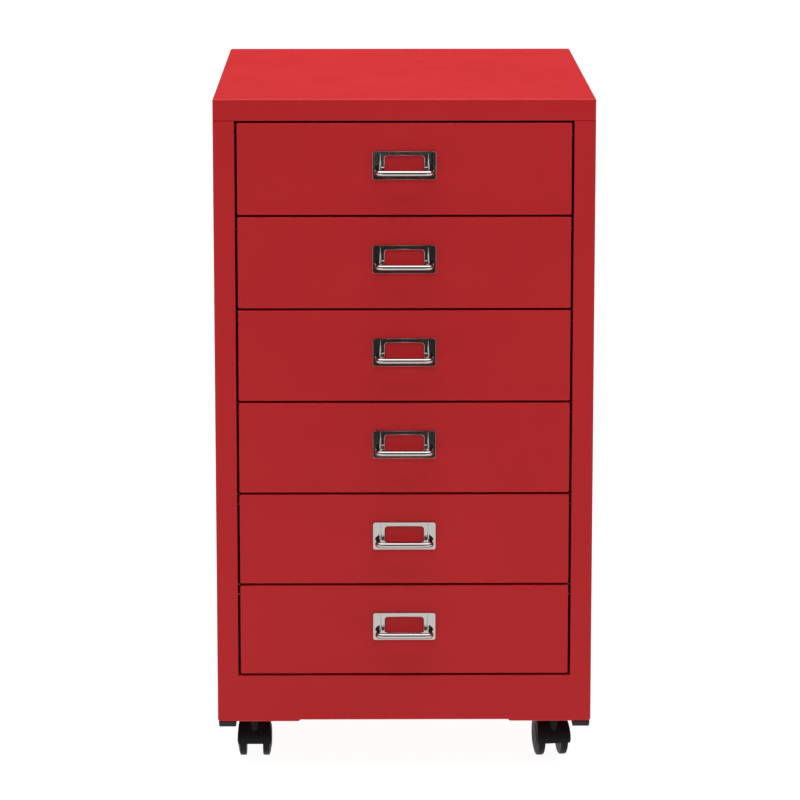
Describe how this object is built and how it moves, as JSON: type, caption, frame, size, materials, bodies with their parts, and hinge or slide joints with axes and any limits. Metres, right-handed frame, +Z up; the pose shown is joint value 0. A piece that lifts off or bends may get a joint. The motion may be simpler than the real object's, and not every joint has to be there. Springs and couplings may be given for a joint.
{
  "type": "filing cabinet",
  "caption": "Red enamelled steel cabinet of shallow drawers that slide out, each with a chrome pull and label frame, on swivelling twin-wheel casters.",
  "frame": {"origin": "on the floor, under the middle of the bounding box at rest", "axes": "+Z up, the drawer fronts face -Y, +X towards the right-hand side as seen from the front"},
  "size_m": [0.28, 0.3955, 0.506],
  "materials": {
    "red_enamel": "satin red powder coat",
    "chrome": "polished chrome plate",
    "zinc_steel": "dull zinc plate",
    "black_nylon": "fine matt black",
    "grey_rubber": "matt dark grey"
  },
  "bodies": {
    "case": {"top_panel": "red_enamel", "left_side_panel": "red_enamel", "right_side_panel": "red_enamel", "back_panel": "red_enamel", "front_plinth": "red_enamel", "base_panel": "red_enamel", "runner_1_left": "zinc_steel", "runner_1_right": "zinc_steel", "runner_2_left": "zinc_steel", "runner_2_right": "zinc_steel", "runner_3_left": "zinc_steel", "runner_3_right": "zinc_steel", "runner_4_left": "zinc_steel", "runner_4_right": "zinc_steel", "runner_5_left": "zinc_steel", "runner_5_right": "zinc_steel", "runner_6_left": "zinc_steel", "runner_6_right": "zinc_steel", "corner_foot_front_left": "grey_rubber", "corner_foot_front_right": "grey_rubber", "corner_foot_rear_left": "grey_rubber", "corner_foot_rear_right": "grey_rubber", "caster_front_left_stem": "zinc_steel", "caster_front_right_stem": "zinc_steel", "caster_rear_left_stem": "zinc_steel", "caster_rear_right_stem": "zinc_steel"},
    "drawer_1": {"drawer_1_tray": "red_enamel", "drawer_1_front": "red_enamel", "drawer_1_pull": "chrome"},
    "drawer_2": {"drawer_2_tray": "red_enamel", "drawer_2_front": "red_enamel", "drawer_2_pull": "chrome"},
    "drawer_3": {"drawer_3_tray": "red_enamel", "drawer_3_front": "red_enamel", "drawer_3_pull": "chrome"},
    "drawer_4": {"drawer_4_tray": "red_enamel", "drawer_4_front": "red_enamel", "drawer_4_pull": "chrome"},
    "drawer_5": {"drawer_5_tray": "red_enamel", "drawer_5_front": "red_enamel", "drawer_5_pull": "chrome"},
    "drawer_6": {"drawer_6_tray": "red_enamel", "drawer_6_front": "red_enamel", "drawer_6_pull": "chrome"},
    "caster_front_left": {"caster_front_left_hood": "black_nylon", "caster_front_left_axle": "zinc_steel"},
    "caster_front_left_left_wheel": {"caster_front_left_wheel_left": "black_nylon"},
    "caster_front_left_right_wheel": {"caster_front_left_wheel_right": "black_nylon"},
    "caster_front_right": {"caster_front_right_hood": "black_nylon", "caster_front_right_axle": "zinc_steel"},
    "caster_front_right_left_wheel": {"caster_front_right_wheel_left": "black_nylon"},
    "caster_front_right_right_wheel": {"caster_front_right_wheel_right": "black_nylon"},
    "caster_rear_left": {"caster_rear_left_hood": "black_nylon", "caster_rear_left_axle": "zinc_steel"},
    "caster_rear_left_left_wheel": {"caster_rear_left_wheel_left": "black_nylon"},
    "caster_rear_left_right_wheel": {"caster_rear_left_wheel_right": "black_nylon"},
    "caster_rear_right": {"caster_rear_right_hood": "black_nylon", "caster_rear_right_axle": "zinc_steel"},
    "caster_rear_right_left_wheel": {"caster_rear_right_wheel_left": "black_nylon"},
    "caster_rear_right_right_wheel": {"caster_rear_right_wheel_right": "black_nylon"}
  },
  "joints": [
    {"name": "drawer_1_slide", "type": "slide", "parent": "case", "child": "drawer_1", "axis": [0, -1, 0], "range_m": [0, 0.27]},
    {"name": "drawer_2_slide", "type": "slide", "parent": "case", "child": "drawer_2", "axis": [0, -1, 0], "range_m": [0, 0.27]},
    {"name": "drawer_3_slide", "type": "slide", "parent": "case", "child": "drawer_3", "axis": [0, -1, 0], "range_m": [0, 0.27]},
    {"name": "drawer_4_slide", "type": "slide", "parent": "case", "child": "drawer_4", "axis": [0, -1, 0], "range_m": [0, 0.27]},
    {"name": "drawer_5_slide", "type": "slide", "parent": "case", "child": "drawer_5", "axis": [0, -1, 0], "range_m": [0, 0.27]},
    {"name": "drawer_6_slide", "type": "slide", "parent": "case", "child": "drawer_6", "axis": [0, -1, 0], "range_m": [0, 0.27]},
    {"name": "caster_front_left_swivel", "type": "hinge", "parent": "case", "child": "caster_front_left", "pos_m": [-0.1133, -0.15225, 0.034], "axis": [0, 0, 1], "continuous": true},
    {"name": "caster_front_left_left_wheel_spin", "type": "hinge", "parent": "caster_front_left", "child": "caster_front_left_left_wheel", "pos_m": [-0.1133, -0.14125, 0.015], "axis": [1, 0, 0], "continuous": true},
    {"name": "caster_front_left_right_wheel_spin", "type": "hinge", "parent": "caster_front_left", "child": "caster_front_left_right_wheel", "pos_m": [-0.1133, -0.14125, 0.015], "axis": [1, 0, 0], "continuous": true},
    {"name": "caster_front_right_swivel", "type": "hinge", "parent": "case", "child": "caster_front_right", "pos_m": [0.1133, -0.15225, 0.034], "axis": [0, 0, 1], "continuous": true},
    {"name": "caster_front_right_left_wheel_spin", "type": "hinge", "parent": "caster_front_right", "child": "caster_front_right_left_wheel", "pos_m": [0.11158, -0.14139, 0.015], "axis": [0.9877, 0.1564, 0], "continuous": true},
    {"name": "caster_front_right_right_wheel_spin", "type": "hinge", "parent": "caster_front_right", "child": "caster_front_right_right_wheel", "pos_m": [0.11158, -0.14139, 0.015], "axis": [0.9877, 0.1564, 0], "continuous": true},
    {"name": "caster_rear_left_swivel", "type": "hinge", "parent": "case", "child": "caster_rear_left", "pos_m": [-0.1133, 0.16775, 0.034], "axis": [0, 0, 1], "continuous": true},
    {"name": "caster_rear_left_left_wheel_spin", "type": "hinge", "parent": "caster_rear_left", "child": "caster_rear_left_left_wheel", "pos_m": [-0.1133, 0.17875, 0.015], "axis": [1, 0, 0], "continuous": true},
    {"name": "caster_rear_left_right_wheel_spin", "type": "hinge", "parent": "caster_rear_left", "child": "caster_rear_left_right_wheel", "pos_m": [-0.1133, 0.17875, 0.015], "axis": [1, 0, 0], "continuous": true},
    {"name": "caster_rear_right_swivel", "type": "hinge", "parent": "case", "child": "caster_rear_right", "pos_m": [0.1133, 0.16775, 0.034], "axis": [0, 0, 1], "continuous": true},
    {"name": "caster_rear_right_left_wheel_spin", "type": "hinge", "parent": "caster_rear_right", "child": "caster_rear_right_left_wheel", "pos_m": [0.1133, 0.17875, 0.015], "axis": [1, 0, 0], "continuous": true},
    {"name": "caster_rear_right_right_wheel_spin", "type": "hinge", "parent": "caster_rear_right", "child": "caster_rear_right_right_wheel", "pos_m": [0.1133, 0.17875, 0.015], "axis": [1, 0, 0], "continuous": true}
  ]
}
